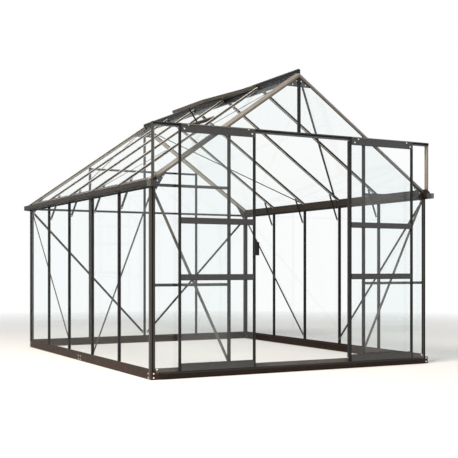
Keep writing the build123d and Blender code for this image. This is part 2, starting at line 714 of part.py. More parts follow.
def leaf_stiles(headed):
    """Inner and outer stile; the headed one (0 or 1) runs on up in front of the track."""
    front = FRONT - LEAF_FRONT
    back = FRONT - LEAF_BACK
    glass = (front + back) / 2
    groove = GLASS / 2 + SEAT
    stile = block(-STILE_W, 0, front, back, LEAF_BOTTOM, LEAF_TOP)
    stile -= block(-STILE_W - PLAY, -STILE_W + REBATE, glass - groove, glass + groove, 0, APEX)
    stiles = [stile, Pos(-LEAF_W, 0, 0) * mirror(stile, Plane.YZ)]
    x = [-STILE_W, -LEAF_W][headed]
    stiles[headed] += block(x, x + STILE_W, front - RAIL_PROUD, front, TRACK_TOP - HANGER_H, TRACK_TOP)
    return stiles


def leaf_rails():
    front = FRONT - LEAF_FRONT - RAIL_PROUD
    back = FRONT - LEAF_BACK
    glass = FRONT - (LEAF_FRONT + LEAF_BACK) / 2
    groove = GLASS / 2 + SEAT
    x0 = -LEAF_W + STILE_W + SEAT
    x1 = -STILE_W - SEAT
    rails = []
    for z in MID_RAILS_Z:
        bar = block(x0, x1, front, back, z - MID_RAIL_H / 2, z + MID_RAIL_H / 2)
        for edge in (z - MID_RAIL_H / 2, z + MID_RAIL_H / 2):
            bar -= block(-LEAF_W, 0, glass - groove, glass + groove, edge - REBATE, edge + REBATE)
        rails.append(bar)
    top = LEAF_BOTTOM + KICK_H
    kick = block(x0, x1, front, back, LEAF_BOTTOM, top)
    kick -= block(-LEAF_W, 0, glass - groove, glass + groove, top - REBATE, top + REBATE)
    foot = SHELF_Z + SHELF_T + GUIDE_GAP
    kick += block(x0, x1, glass - FIN_T / 2, glass + FIN_T / 2, foot, LEAF_BOTTOM)
    rails.append(kick)
    return rails


def leaf_hanger(outer, inner):
    """Top plate that hides the rollers, in one piece with the leaf's top rail."""
    front = FRONT - LEAF_FRONT - RAIL_PROUD
    glass = FRONT - (LEAF_FRONT + LEAF_BACK) / 2
    groove = GLASS / 2 + SEAT
    low = TRACK_TOP - HANGER_H
    plate = block(-LEAF_W + outer, -inner, front, FRONT - LEAF_FRONT, low, TRACK_TOP)
    x0 = -LEAF_W + STILE_W + SEAT
    under = LEAF_TOP - HANGER_RAIL
    top = block(x0, -STILE_W - SEAT, FRONT - LEAF_FRONT, FRONT - LEAF_BACK, under, LEAF_TOP)
    top -= block(-LEAF_W, 0, glass - groove, glass + groove, under - PLAY, under + REBATE)
    return [plate + top]


def leaf_glass():
    glass = FRONT - (LEAF_FRONT + LEAF_BACK) / 2
    x0 = -LEAF_W + STILE_W - REBATE + PLAY
    x1 = -STILE_W + REBATE - PLAY
    half = MID_RAIL_H / 2
    lows = [LEAF_BOTTOM + KICK_H] + [z + half for z in MID_RAILS_Z]
    highs = [z - half for z in MID_RAILS_Z] + [LEAF_TOP - HANGER_RAIL]
    panes = []
    for low, high in zip(lows, highs):
        panes.append(block(x0, x1, glass - GLASS / 2, glass + GLASS / 2,
                           low - REBATE + SEAT, high + REBATE - PLAY))
    return panes


def leaf_rollers():
    z = TRACK_LOW + TRACK_T + SEAT + ROLLER_R
    front = FRONT - LEAF_FRONT
    wheel_y = FRONT - (TRACK_D - TRACK_T) / 2 - TRACK_T
    rollers = []
    for x in (-ROLLER_INSET, -LEAF_W + ROLLER_INSET):
        axle = Cylinder(AXLE_R, wheel_y - front, rotation=(90, 0, 0))
        wheel = Cylinder(ROLLER_R, ROLLER_L, rotation=(90, 0, 0))
        roller = Pos(x, (wheel_y + front) / 2, z) * axle + Pos(x, wheel_y, z) * wheel
        rollers.append(roller)
    return rollers


def leaf_handle():
    """Bent plate on a block, reaching past the inner edge of the left leaf."""
    front = FRONT - HANDLE_FRONT
    plate = FRONT - LEAF_FRONT - RAIL_PROUD - HANDLE_CLEAR
    grip = block(-STILE_W, HANDLE_REACH, plate - PLATE_T, plate, HANDLE_LOW, HANDLE_TOP)
    grip += block(HANDLE_REACH - PLATE_T, HANDLE_REACH, front, plate, HANDLE_LOW, HANDLE_TOP)
    grip += block(-STILE_W, -PLATE_T, plate, FRONT - LEAF_FRONT, HANDLE_LOW, HANDLE_TOP)
    corner = [(0, HANDLE_TOP), (HANDLE_REACH, HANDLE_TOP), (HANDLE_REACH, HANDLE_TOP - HANDLE_FALL)]
    face = Plane(origin=(0, FRONT, 0), x_dir=(1, 0, 0), z_dir=(0, -1, 0)) * make_face(
        Polyline(*corner, close=True))
    grip -= extrude(face, amount=HANDLE_FRONT, dir=(0, -1, 0))
    return [grip]


def doors():
    end = HALF_W - TRACK_INSET - STOP
    left = Pos(-end + SHORT_LEFT + LEAF_W, 0, 0)
    right = Pos(end - SHORT_RIGHT - LEAF_W, 0, 0)
    both = {"rails": leaf_rails(), "glass": leaf_glass(), "rollers": leaf_rollers()}
    left_leaf = {"stiles": leaf_stiles(1), "hanger": leaf_hanger(HANGER_INSET, HANGER_END),
                 "handle": leaf_handle(), **both}
    right_leaf = {"stiles": leaf_stiles(0), "hanger": leaf_hanger(HANGER_END, HANGER_INSET), **both}
    for piece, shapes in left_leaf.items():
        save(f"left_door_{piece}", *[left * shape for shape in shapes])
    for piece, shapes in right_leaf.items():
        save(f"right_door_{piece}", *[right * mirror(shape, Plane.YZ) for shape in shapes])


os.makedirs("parts", exist_ok=True)
base_frame()
base_joint_plates()
sills()
threshold()
corner_posts()
side_wall_bars()
gutters()
rafters()
gable_rafters()
ridge_beam()
gable_uprights()
gable_crossbars()
door_header()
gable_gussets()
wall_braces()
roof_braces()
knee_stays()
door_track()
window()
side_glass()
gable_glass()
roof_glass()
doors()
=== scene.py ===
import math

import bmesh
import bpy
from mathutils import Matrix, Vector


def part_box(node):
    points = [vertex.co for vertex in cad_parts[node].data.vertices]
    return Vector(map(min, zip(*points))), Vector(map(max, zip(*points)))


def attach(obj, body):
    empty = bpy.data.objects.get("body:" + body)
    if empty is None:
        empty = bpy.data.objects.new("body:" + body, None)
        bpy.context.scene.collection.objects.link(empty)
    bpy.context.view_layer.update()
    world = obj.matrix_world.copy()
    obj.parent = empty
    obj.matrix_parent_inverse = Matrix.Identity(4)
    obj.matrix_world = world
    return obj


# The finish, fixings and seals of a glass greenhouse with two sliding doors, in metres.
# X runs across the door gable, Y from that gable to the rear one, Z up.
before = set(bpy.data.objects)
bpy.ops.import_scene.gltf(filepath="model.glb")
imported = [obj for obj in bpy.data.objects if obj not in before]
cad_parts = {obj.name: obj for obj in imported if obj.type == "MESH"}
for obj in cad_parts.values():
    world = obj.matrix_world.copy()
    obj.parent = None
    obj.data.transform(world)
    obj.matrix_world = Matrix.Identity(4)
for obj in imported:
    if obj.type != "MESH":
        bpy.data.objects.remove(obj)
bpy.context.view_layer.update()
MM = 0.001

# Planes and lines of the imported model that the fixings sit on
WALL = 1268 * MM                       # outer face of each side wall
FRONT = -1572.25 * MM                  # wall face of the door gable
REAR = 1586.25 * MM                    # wall face of the rear gable
APEX = 2349.86 * MM                    # meeting line of the two roof slopes
BEAM_BOTTOM = 1391.5 * MM
SILL_TOP = 80 * MM
BAY = 622.5 * MM
CORNER = 23 * MM                       # outer corner to the first glazing line
BAR_D = 22 * MM                        # depth of a glazing bar
BAR_LINES = [FRONT + CORNER + i * BAY for i in range(1, 5)]
PITCH = math.radians(35)
WINDOW_OPEN = math.radians(16.8)
LEAF_T = 16 * MM                       # thickness of the leaves' stiles
LEAF_FRONT = FRONT - 43 * MM           # front face of the leaves' stiles
PLATE_FRONT = LEAF_FRONT - 3 * MM      # front face of the hanger plates
GUSSET_FRONT = FRONT + 12.3 * MM       # outer face of the plates behind the front glass
GUSSET_REAR = REAR - 12.3 * MM
GUSSET_T = 3 * MM
TRACK_TOP = 1863.5 * MM
TRACK_H = 26 * MM
TRACK_D = 38 * MM
TRACK_END = 1262 * MM
CLEAR = 6 * MM                         # room between moving and fixed pieces

OUT_FRONT = Vector((0, -1, 0))
OUT_REAR = Vector((0, 1, 0))
OUT_LEFT = Vector((-1, 0, 0))
OUT_RIGHT = Vector((1, 0, 0))
LEFT_SLOPE = Vector((-math.sin(PITCH), 0, math.cos(PITCH)))
RIGHT_SLOPE = Vector((math.sin(PITCH), 0, math.cos(PITCH)))

# Marks in the finishes, by their size in millimetres
STREAK = 38                            # rain streaks
STREAK_LENGTH = 9.0                    # how far they are drawn out downwards
SETTLED = 160                          # patches of settled dust
SOIL = 9                               # specks of splashed soil
SATIN = 55                             # duller and shinier patches of the coat
PEEL = 5                               # orange peel, really nearer 1 mm and then too fine to show
PEEL_DEPTH = 0.06
HIGHLIGHT_PATCH = 60                           # patches in the painted highlights on the roof's bars
RAIN_FILM = 300                        # dried rain on the glass
RAIN_LENGTH = 2.5
GLASS_WAVE = 700                       # slow waves in float glass
GLASS_WAVE_DEPTH = 0.4
CLOUD = 8                              # paler clouds in moulded nylon
SCUFF = 3                              # scuffs on the rollers
MOULD_GRAIN = 2                        # moulded grain, really nearer 0.3 mm and too fine to show
CLINGING_DUST = 45                     # patches of dust on the seals
RUBBED = 12                            # smoother patches of the seals
RUBBER_GRAIN = 3                       # extruded skin, really nearer 0.5 mm and too fine to show
DULLED = 4                             # dulled patches of the screws
PRESS_MARK = 2                         # marks of cold heading, really nearer 0.5 mm
GRAIN_DEPTH = 0.05
PRESS_DEPTH = 0.03


# Node materials

def linear(hex_colour):
    """An sRGB hex colour as linear RGBA."""
    parts = [int(hex_colour[i:i + 2], 16) / 255 for i in (1, 3, 5)]
    return [c / 12.92 if c <= 0.04045 else ((c + 0.055) / 1.055) ** 2.4 for c in parts] + [1.0]


def per_metre(size_mm):
    """Texture scale that gives features of about this size."""
    return 1 / (size_mm * MM)


def new_material(name):
    """An empty node material and its tree."""
    material = bpy.data.materials.new(name)
    material.use_nodes = True
    material.node_tree.nodes.clear()
    return material, material.node_tree


def add(tree, kind, inputs=None, **settings):
    """Add a node with its settings; an input is a value, a socket or a node's first output."""
    node = tree.nodes.new(kind)
    for name, value in settings.items():
        setattr(node, name, value)
    for key, value in (inputs or {}).items():
        if isinstance(value, bpy.types.Node):
            value = value.outputs[0]
        if isinstance(value, bpy.types.NodeSocket):
            tree.links.new(value, node.inputs[key])
        else:
            node.inputs[key].default_value = value
    return node


def powder_coat(name, body_hex, chalk_hex, dust_hex="#8d8374", dust=0.16, splash_top=1 * MM,
                rough=0.42, sheen=0.3, painted_band=None, painted_band_hex=None):
    """Polyester powder coat: dark satin skin with orange peel, rain streaks and dust on what faces up.

    Soil is splashed on what lies below the splashes' top. A stretch of the piece between two places
    along one axis, counted from the middle along X, may be of a second colour: painted light or shade.
    """
    material, tree = new_material(name)
    spot = add(tree, "ShaderNodeTexCoord").outputs["Object"]
    place = add(tree, "ShaderNodeSeparateXYZ", {0: spot})

    # Body colour, chalked along the rain streaks
    falling = add(tree, "ShaderNodeMapping", {"Vector": spot, "Scale": (1.0, 1.0, 1 / STREAK_LENGTH)})
    rain = add(tree, "ShaderNodeTexNoise", {"Vector": falling, "Scale": per_metre(STREAK),
                                            "Detail": 4.0, "Roughness": 0.6})
    chalk = add(tree, "ShaderNodeMapRange", {"Value": rain, "From Min": 0.45, "From Max": 0.75,
                                             "To Max": 0.55})
    body = add(tree, "ShaderNodeMix", {0: chalk, 6: linear(body_hex), 7: linear(chalk_hex)},
               data_type="RGBA").outputs[2]

    # Dust that lies on what faces up
    normal = add(tree, "ShaderNodeNewGeometry").outputs["Normal"]
    facing = add(tree, "ShaderNodeSeparateXYZ", {0: normal})
    up = add(tree, "ShaderNodeMapRange", {"Value": facing.outputs["Z"], "From Min": 0.3,
                                          "From Max": 1.0})
    settled = add(tree, "ShaderNodeTexNoise", {"Vector": spot, "Scale": per_metre(SETTLED),
                                               "Detail": 5.0, "Roughness": 0.6})
    patches = add(tree, "ShaderNodeMapRange", {"Value": settled, "From Min": 0.38, "From Max": 0.7,
                                               "To Min": 0.3})
    lying = add(tree, "ShaderNodeMath", {0: up, 1: patches}, operation="MULTIPLY")

    # Soil splashed on what is near the ground
    low = add(tree, "ShaderNodeMapRange", {"Value": place.outputs["Z"], "From Max": splash_top,
                                           "To Min": 1.0, "To Max": 0.0})
    soil = add(tree, "ShaderNodeTexNoise", {"Vector": spot, "Scale": per_metre(SOIL),
                                            "Detail": 5.0, "Roughness": 0.7})
    specks = add(tree, "ShaderNodeMapRange", {"Value": soil, "From Min": 0.5, "From Max": 0.68,
                                              "To Min": 0.25})
    splashed = add(tree, "ShaderNodeMath", {0: low, 1: specks}, operation="MULTIPLY")
    dirt = add(tree, "ShaderNodeMath", {0: lying, 1: splashed}, operation="MAXIMUM")
    cover = add(tree, "ShaderNodeMath", {0: dirt, 1: dust}, operation="MULTIPLY")
    colour = add(tree, "ShaderNodeMix", {0: cover, 6: body, 7: linear(dust_hex)},
                 data_type="RGBA").outputs[2]

    # Painted light or shade: a paler or darker colour laid where light falls or shade lies
    if painted_band:
        axis, start, end = painted_band
        along = place.outputs[axis]
        if axis == "X":
            along = add(tree, "ShaderNodeMath", {0: along}, operation="ABSOLUTE")
        fade = 1 * MM
        enters = add(tree, "ShaderNodeMapRange", {"Value": along, "From Min": start - fade,
                                                  "From Max": start})
        leaves = add(tree, "ShaderNodeMapRange", {"Value": along, "From Min": end + fade,
                                                  "From Max": end})
        inside = add(tree, "ShaderNodeMath", {0: enters, 1: leaves}, operation="MULTIPLY")
        colour = add(tree, "ShaderNodeMix", {0: inside, 6: colour, 7: linear(painted_band_hex)},
                     data_type="RGBA").outputs[2]

    # Satin skin, duller under the dust, with orange peel
    sheer = add(tree, "ShaderNodeTexNoise", {"Vector": spot, "Scale": per_metre(SATIN), "Detail": 4.0})
    satin = add(tree, "ShaderNodeMapRange", {"Value": sheer, "From Min": 0.3, "From Max": 0.7,
                                             "To Min": rough - 0.05, "To Max": rough + 0.06})
    duller = add(tree, "ShaderNodeMath", {0: cover, 1: 0.35}, operation="MULTIPLY")
    roughness = add(tree, "ShaderNodeMath", {0: satin, 1: duller}, operation="ADD")
    peel = add(tree, "ShaderNodeTexNoise", {"Vector": spot, "Scale": per_metre(PEEL), "Detail": 2.0})
    skin = add(tree, "ShaderNodeBump", {"Height": peel, "Distance": PEEL_DEPTH * MM, "Strength": 0.5})
    shader = add(tree, "ShaderNodeBsdfPrincipled", {
        "Base Color": colour, "Roughness": roughness, "IOR": 1.5, "Specular IOR Level": sheen,
        "Normal": skin})
    add(tree, "ShaderNodeOutputMaterial", {"Surface": shader})
    return material


def bar_coat(name):
    """Powder coat of the roof's bars: edges painted pale as painted highlights, flute and web left dark.
    """
    material, tree = new_material(name)
    spot = add(tree, "ShaderNodeTexCoord").outputs["Object"]
    place = add(tree, "ShaderNodeSeparateXYZ", {0: spot})

    # How far off the middle of its bar a point lies, and how deep below the roof's surface
    along = add(tree, "ShaderNodeMath", {0: place.outputs["Y"], 1: BAR_LINES[0]}, operation="SUBTRACT")
    off = add(tree, "ShaderNodeMath", {0: along, 1: BAY / 2}, operation="PINGPONG")
    out = add(tree, "ShaderNodeMath", {0: place.outputs["X"]}, operation="ABSOLUTE")
    fall = add(tree, "ShaderNodeMath", {0: out, 1: math.tan(PITCH)}, operation="MULTIPLY")
    level = add(tree, "ShaderNodeMath", {0: place.outputs["Z"], 1: fall}, operation="ADD")
    below = add(tree, "ShaderNodeMath", {0: APEX, 1: level}, operation="SUBTRACT")
    depth = add(tree, "ShaderNodeMath", {0: below, 1: math.cos(PITCH)}, operation="MULTIPLY")

    normal = add(tree, "ShaderNodeNewGeometry").outputs["Normal"]
    facing = add(tree, "ShaderNodeSeparateXYZ", {0: normal})
    turned = add(tree, "ShaderNodeMath", {0: facing.outputs["Y"]}, operation="ABSOLUTE")
    side = add(tree, "ShaderNodeMapRange", {"Value": turned, "From Min": 0.6, "From Max": 0.8})
    up = add(tree, "ShaderNodeMapRange", {"Value": facing.outputs["Z"], "From Min": 0.5,
                                          "From Max": 0.7})

    # Painted highlights: the cap's two lips, the cap's sides and the sides of the foot are painted pale
    flute_edge = 3.4 * MM              # from the middle of the bar
    lip_start = 4.2 * MM
    cap_foot = 4.6 * MM                # below the roof's surface
    web_top = 5.2 * MM
    web_foot = 16.8 * MM
    foot_top = 17.4 * MM
    lip = add(tree, "ShaderNodeMapRange", {"Value": off, "From Min": flute_edge,
                                           "From Max": lip_start})
    cap = add(tree, "ShaderNodeMapRange", {"Value": depth, "From Min": web_top, "From Max": cap_foot})
    foot = add(tree, "ShaderNodeMapRange", {"Value": depth, "From Min": web_foot,
                                            "From Max": foot_top})
    lips = add(tree, "ShaderNodeMath", {0: up, 1: lip}, operation="MULTIPLY")
    edges = add(tree, "ShaderNodeMath", {0: cap, 1: foot}, operation="MAXIMUM")
    sides = add(tree, "ShaderNodeMath", {0: side, 1: edges}, operation="MULTIPLY")
    painted_highlight = add(tree, "ShaderNodeMath", {0: lips, 1: sides}, operation="MAXIMUM")

    # Paler and darker patches in the tone of the painted highlights
    sun = add(tree, "ShaderNodeTexNoise", {"Vector": spot, "Scale": per_metre(HIGHLIGHT_PATCH),
                                           "Detail": 5.0, "Roughness": 0.65})
    sun = add(tree, "ShaderNodeMapRange", {"Value": sun, "From Min": 0.4, "From Max": 0.7})
    highlight_tone = add(tree, "ShaderNodeMix", {0: sun, 6: linear("#d9d4ca"), 7: linear("#bab4a9")},
               data_type="RGBA").outputs[2]
    rain = add(tree, "ShaderNodeTexNoise", {"Vector": spot, "Scale": per_metre(STREAK),
                                            "Detail": 4.0, "Roughness": 0.6})
    rain = add(tree, "ShaderNodeMapRange", {"Value": rain, "From Min": 0.45, "From Max": 0.75})
    body = add(tree, "ShaderNodeMix", {0: rain, 6: linear("#0d0c0a"), 7: linear("#191714")},
               data_type="RGBA").outputs[2]
    colour = add(tree, "ShaderNodeMix", {0: painted_highlight, 6: body, 7: highlight_tone}, data_type="RGBA").outputs[2]
    sheer = add(tree, "ShaderNodeTexNoise", {"Vector": spot, "Scale": per_metre(SATIN), "Detail": 4.0})
    satin = add(tree, "ShaderNodeMapRange", {"Value": sheer, "From Min": 0.3, "From Max": 0.7,
                                             "To Min": 0.36, "To Max": 0.48})
    peel = add(tree, "ShaderNodeTexNoise", {"Vector": spot, "Scale": per_metre(PEEL), "Detail": 2.0})
    skin = add(tree, "ShaderNodeBump", {"Height": peel, "Distance": PEEL_DEPTH * MM, "Strength": 0.5})
    shader = add(tree, "ShaderNodeBsdfPrincipled", {
        "Base Color": colour, "Roughness": satin, "IOR": 1.5, "Specular IOR Level": 0.35,
        "Normal": skin})
    add(tree, "ShaderNodeOutputMaterial", {"Surface": shader})
    return material


def float_glass(name):
    """Clear float glass: almost colourless, a weak mirror at a slant, with a slight film of dust."""
    material, tree = new_material(name)
    spot = add(tree, "ShaderNodeTexCoord").outputs["Object"]
    falling = add(tree, "ShaderNodeMapping", {"Vector": spot, "Scale": (1.0, 1.0, 1 / RAIN_LENGTH)})
    rain = add(tree, "ShaderNodeTexNoise", {"Vector": falling, "Scale": per_metre(RAIN_FILM),
                                            "Detail": 5.0, "Roughness": 0.65})
    film = add(tree, "ShaderNodeMapRange", {"Value": rain, "From Min": 0.42, "From Max": 0.75})
    waves = add(tree, "ShaderNodeTexNoise", {"Vector": spot, "Scale": per_metre(GLASS_WAVE),
                                             "Detail": 1.0})
    face = add(tree, "ShaderNodeBump", {"Height": waves, "Distance": GLASS_WAVE_DEPTH * MM,
                                        "Strength": 0.15})
    smear = add(tree, "ShaderNodeMapRange", {"Value": film, "To Min": 0.01, "To Max": 0.05})
    mirror = add(tree, "ShaderNodeBsdfGlossy", {"Color": linear("#ffffff"), "Roughness": smear,
                                                "Normal": face})
    clear = add(tree, "ShaderNodeBsdfTransparent", {"Color": linear("#fdfefe")})
    dust = add(tree, "ShaderNodeBsdfDiffuse", {"Color": linear("#b9bdb8")})
    slant = add(tree, "ShaderNodeLayerWeight", {"Blend": 0.5, "Normal": face}).outputs["Facing"]
    grazing = add(tree, "ShaderNodeMath", {0: slant, 1: 5.0}, operation="POWER")
    share = add(tree, "ShaderNodeMapRange", {"Value": grazing, "To Min": 0.024, "To Max": 0.09})
    pane = add(tree, "ShaderNodeMixShader", {0: share, 1: clear, 2: mirror})
    veil = add(tree, "ShaderNodeMapRange", {"Value": film, "To Min": 0.002, "To Max": 0.012})
    dusty = add(tree, "ShaderNodeMixShader", {0: veil, 1: pane, 2: dust})
    add(tree, "ShaderNodeOutputMaterial", {"Surface": dusty})
    return material


def nylon(name):
    """Moulded nylon: matt black with a slight sheen."""
    material, tree = new_material(name)
    spot = add(tree, "ShaderNodeTexCoord").outputs["Object"]
    cloudy = add(tree, "ShaderNodeTexNoise", {"Vector": spot, "Scale": per_metre(CLOUD), "Detail": 2.0})
    colour = add(tree, "ShaderNodeMix", {0: cloudy, 6: linear("#161616"), 7: linear("#242322")},
                 data_type="RGBA").outputs[2]
    scuffed = add(tree, "ShaderNodeTexNoise", {"Vector": spot, "Scale": per_metre(SCUFF), "Detail": 2.0})
    roughness = add(tree, "ShaderNodeMapRange", {"Value": scuffed, "From Min": 0.3, "From Max": 0.7,
                                                 "To Min": 0.42, "To Max": 0.55})
    grain = add(tree, "ShaderNodeTexNoise", {"Vector": spot, "Scale": per_metre(MOULD_GRAIN),
                                             "Detail": 2.0})
    face = add(tree, "ShaderNodeBump", {"Height": grain, "Distance": GRAIN_DEPTH * MM,
                                        "Strength": 0.4})
    shader = add(tree, "ShaderNodeBsdfPrincipled", {"Base Color": colour, "Roughness": roughness,
                                                    "IOR": 1.53, "Normal": face})
    add(tree, "ShaderNodeOutputMaterial", {"Surface": shader})
    return material


def seal_rubber(name):
    """Extruded EPDM rubber: soft matt black, greyed a little where dust clings to it."""
    material, tree = new_material(name)
    spot = add(tree, "ShaderNodeTexCoord").outputs["Object"]
    clinging = add(tree, "ShaderNodeTexNoise", {"Vector": spot, "Scale": per_metre(CLINGING_DUST),
                                                "Detail": 4.0, "Roughness": 0.6})
    dusty = add(tree, "ShaderNodeMapRange", {"Value": clinging, "From Min": 0.45, "From Max": 0.75,
                                             "To Max": 0.5})
    colour = add(tree, "ShaderNodeMix", {0: dusty, 6: linear("#111111"), 7: linear("#2b2927")},
                 data_type="RGBA").outputs[2]
    rubbed = add(tree, "ShaderNodeTexNoise", {"Vector": spot, "Scale": per_metre(RUBBED), "Detail": 3.0})
    roughness = add(tree, "ShaderNodeMapRange", {"Value": rubbed, "From Min": 0.3, "From Max": 0.7,
                                                 "To Min": 0.6, "To Max": 0.75})
    grain = add(tree, "ShaderNodeTexNoise", {"Vector": spot, "Scale": per_metre(RUBBER_GRAIN),
                                             "Detail": 2.0})
    face = add(tree, "ShaderNodeBump", {"Height": grain, "Distance": GRAIN_DEPTH * MM,
                                        "Strength": 0.4})
    shader = add(tree, "ShaderNodeBsdfPrincipled", {
        "Base Color": colour, "Roughness": roughness, "IOR": 1.5, "Specular IOR Level": 0.3,
        "Normal": face})
    add(tree, "ShaderNodeOutputMaterial", {"Surface": shader})
    return material


def stainless(name):
    """A2 stainless steel, cold headed: bright and smooth, slightly dulled in places."""
    material, tree = new_material(name)
    spot = add(tree, "ShaderNodeTexCoord").outputs["Object"]
    handled = add(tree, "ShaderNodeTexNoise", {"Vector": spot, "Scale": per_metre(DULLED),
                                               "Detail": 3.0})
    dull = add(tree, "ShaderNodeMapRange", {"Value": handled, "From Min": 0.4, "From Max": 0.7})
    colour = add(tree, "ShaderNodeMix", {0: dull, 6: linear("#ecebe8"), 7: linear("#cfccc6")},
                 data_type="RGBA").outputs[2]
    roughness = add(tree, "ShaderNodeMapRange", {"Value": dull, "To Min": 0.2, "To Max": 0.34})
    pressed = add(tree, "ShaderNodeTexNoise", {"Vector": spot, "Scale": per_metre(PRESS_MARK),
                                               "Detail": 2.0})
    face = add(tree, "ShaderNodeBump", {"Height": pressed, "Distance": PRESS_DEPTH * MM,
                                        "Strength": 0.3})
    shader = add(tree, "ShaderNodeBsdfPrincipled", {"Base Color": colour, "Metallic": 1.0,
                                                    "Roughness": roughness, "Normal": face})
    add(tree, "ShaderNodeOutputMaterial", {"Surface": shader})
    return material


def paint(node, material):
    """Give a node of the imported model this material."""
    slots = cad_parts[node].data.materials
    slots.clear()
    slots.append(material)


# Modelling aids

def deselect():
    """Leave edit mode, with nothing selected."""
    if bpy.context.mode != "OBJECT":
        bpy.ops.object.mode_set(mode="OBJECT")
    bpy.ops.object.select_all(action="DESELECT")


def edit(piece):
    """Open one piece in edit mode, with all its faces selected."""
    deselect()
    piece.select_set(True)
    bpy.context.view_layer.objects.active = piece
    bpy.ops.object.mode_set(mode="EDIT")
    bpy.ops.mesh.select_mode(type="FACE")
    bpy.ops.mesh.select_all(action="SELECT")


def pick(test):
    """Select the faces of the open piece whose centre and normal pass the test."""
    bpy.ops.mesh.select_all(action="DESELECT")
    mesh = bmesh.from_edit_mesh(bpy.context.object.data)
    for face in mesh.faces:
        face.select_set(bool(test(face.calc_center_median(), face.normal)))
    bmesh.update_edit_mesh(bpy.context.object.data)


def rise(height_mm, spread=1.0):
    """Extrude the selected faces upwards and spread or draw in their edge."""
    bpy.ops.mesh.extrude_region_move(TRANSFORM_OT_translate={"value": (0, 0, height_mm * MM)})
    bpy.ops.transform.resize(value=(spread, spread, 1), center_override=(0, 0, 0))


def soften(width_mm):
    """Break the piece's sharp edges with a small bevel."""
    bpy.ops.object.mode_set(mode="OBJECT")
    piece = bpy.context.object
    bevel = piece.modifiers.new("edges", "BEVEL")
    bevel.width = width_mm * MM
    bevel.segments = 1
    bevel.limit_method = "ANGLE"
    bevel.angle_limit = math.radians(30)
    bpy.ops.object.modifier_apply(modifier="edges")
    bpy.ops.object.shade_smooth_by_angle(angle=math.radians(35))


def finish(piece, name, body, material):
    """Name a finished piece, give it its material and let it ride on its body."""
    deselect()
    piece.name = name
    piece.data.name = name
    piece.data.materials.clear()
    piece.data.materials.append(material)
    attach(piece, body)


def lay(master, name, body, material, places):
    """Copies of one small part, its axis turned outwards at each place, joined into one piece."""
    copies = []
    for spot, facing in places:
        deselect()
        master.select_set(True)
        bpy.context.view_layer.objects.active = master
        bpy.ops.object.duplicate()
        twin = bpy.context.object
        twin.location = spot
        twin.rotation_euler = Vector(facing).to_track_quat("Z", "Y").to_euler()
        copies.append(twin)
    deselect()
    for twin in copies:
        twin.select_set(True)
    bpy.context.view_layer.objects.active = copies[0]
    if len(copies) > 1:
        bpy.ops.object.join()
    bpy.ops.object.transform_apply(location=True, rotation=True, scale=True)
    finish(bpy.context.object, name, body, material)


def put_away(*masters):
    """Remove the parts that copies were made from."""
    deselect()
    for master in masters:
        master.select_set(True)
    bpy.ops.object.delete()


# Fixings

def button_screw():
    """M6 button-head screw with its socket, the underside of the head at nought, axis up."""
    radius = 6.5 * MM
    rim = 1.2 * MM
    socket_edge = 1.5 * MM
    bpy.ops.mesh.primitive_cylinder_add(vertices=12, radius=radius, depth=rim, location=(0, 0, rim / 2))
    screw = bpy.context.object
    edit(screw)
    pick(lambda centre, normal: normal.z > 0.9)
    rise(0.9, 0.86)
    rise(0.5, 0.76)
    bpy.ops.mesh.inset(thickness=socket_edge)
    rise(-1.1)
    bpy.ops.object.mode_set(mode="OBJECT")
    bpy.ops.object.shade_smooth_by_angle(angle=math.radians(40))
    return screw


def bolt_end():
    """Hexagon nut with the bolt's end standing out of it, its seat at nought, axis up."""
    radius = 5.8 * MM
    high = 5 * MM
    chamfer = 0.9 * MM
    ring = 1.3 * MM                    # flat ring round the bolt's end
    bpy.ops.mesh.primitive_cylinder_add(vertices=6, radius=radius, depth=high,
                                        location=(0, 0, high / 2))
    nut = bpy.context.object
    edit(nut)
    pick(lambda centre, normal: normal.z > 0.9)
    bpy.ops.mesh.inset(thickness=chamfer)
    rise(0.5, 0.97)
    bpy.ops.mesh.inset(thickness=ring)
    rise(2.4)
    rise(0.5, 0.8)
    bpy.ops.object.mode_set(mode="OBJECT")
    bpy.ops.object.shade_smooth_by_angle(angle=math.radians(25))
    return nut


def both_sides(places):
    """These places, and the same ones on the other side of the building."""
    turned = [(Vector((-spot[0], spot[1], spot[2])), Vector((-facing[0], facing[1], facing[2])))
              for spot, facing in places]
    return places + turned


def both_gables(places):
    """These places, and the same ones at the rear gable."""
    middle = FRONT + REAR
    turned = [(Vector((spot[0], middle - spot[1], spot[2])), Vector((facing[0], -facing[1], facing[2])))
              for spot, facing in places]
    return places + turned


def gusset_spots(y, facing):
    """Screws of one gable's apex plate and of its two eave plates, where the photograph has them."""
    apex = [(-54.5, 2248), (-14.8, 2278.5), (25, 2276.8), (63.1, 2248.8)]
    eave = [(1164, 1473.7), (1208, 1442.7), (1222.5, 1375)]
    spots = apex + eave + [(-x, z) for x, z in eave]
    return [(Vector((x * MM, y, z * MM)), facing) for x, z in spots]


def base_screws():
    """Screws through the base frame at its corners and at the splice half way along each side."""
    rows = (41.6, 12.5)                # heights in millimetres
    block_rows = (46.0, 15.5)
    splice_lines = (-19, 33)           # places along the side, in millimetres
    from_corner = 38 * MM
    rear_line = 1221 * MM
    block_line = 1250 * MM
    block_out = 22 * MM
    sill_spot = Vector((-1216.5 * MM, FRONT - 5.1 * MM, 72.5 * MM))
    sill_face = Vector((0, -0.828, 0.561))
    corner = [(Vector((-WALL, FRONT + from_corner, z * MM)), OUT_LEFT) for z in rows]
    splice = [(Vector((-WALL, y * MM, z * MM)), OUT_LEFT) for y in splice_lines for z in rows]
    end_block = [(Vector((-block_line, FRONT - block_out, z * MM)), OUT_FRONT) for z in block_rows]
    rear = [(Vector((-rear_line, REAR, z * MM)), OUT_REAR) for z in rows]
    return both_sides(both_gables(corner) + splice + end_block + [(sill_spot, sill_face)] + rear)


